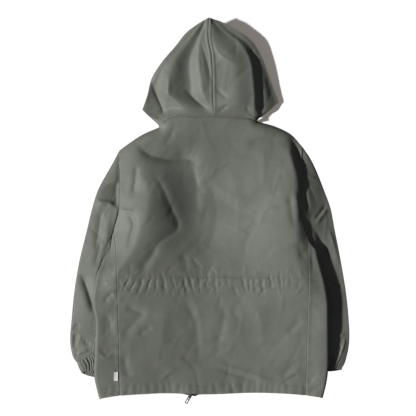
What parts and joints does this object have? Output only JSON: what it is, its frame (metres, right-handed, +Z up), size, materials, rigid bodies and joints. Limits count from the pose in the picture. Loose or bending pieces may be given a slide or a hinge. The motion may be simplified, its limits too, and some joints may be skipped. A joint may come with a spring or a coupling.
{
  "type": "field jacket",
  "caption": "Hooded field jacket of sage cotton satin, laid flat on its front with hood, gathered cuffs, drawcord waist, hem tunnel and a metal zip.",
  "frame": {"origin": "middle of the jacket's outline, on the surface that it lies on", "axes": "+Y up the back towards the hood, +X to the wearer's right, +Z up from the surface, out of the back"},
  "size_m": [0.7596, 1.0438, 0.0737],
  "materials": {
    "satin": "sage green cotton satin, washed, with a soft sheen",
    "zip_tape": "dark green woven zip tape",
    "zip_metal": "aged nickel-plated zip metal",
    "label": "blank white woven label"
  },
  "bodies": {
    "jacket": {"back_panel": "satin", "front_left": "satin", "front_right": "satin", "sleeve_left": "satin", "sleeve_right": "satin", "cuff_left": "satin", "cuff_right": "satin", "hood_left": "satin", "hood_right": "satin", "zip_tape_left": "zip_tape", "zip_tape_right": "zip_tape", "slider_top": "zip_metal", "slider_bottom": "zip_metal", "side_label": "label"},
    "tab_top": {"pull_tab_top": "zip_metal"},
    "tab_bottom": {"pull_tab_bottom": "zip_metal"}
  },
  "joints": [
    {"name": "tab_top_hinge", "type": "hinge", "parent": "jacket", "child": "tab_top", "pos_m": [-0.00765, 0.1231, 0.0028], "axis": [-1, 0, 0], "range_deg": [0, 150]},
    {"name": "tab_bottom_hinge", "type": "hinge", "parent": "jacket", "child": "tab_bottom", "pos_m": [-0.05365, -0.4989, 0.0028], "axis": [0.8746, -0.4848, 0], "range_deg": [0, 150]}
  ]
}
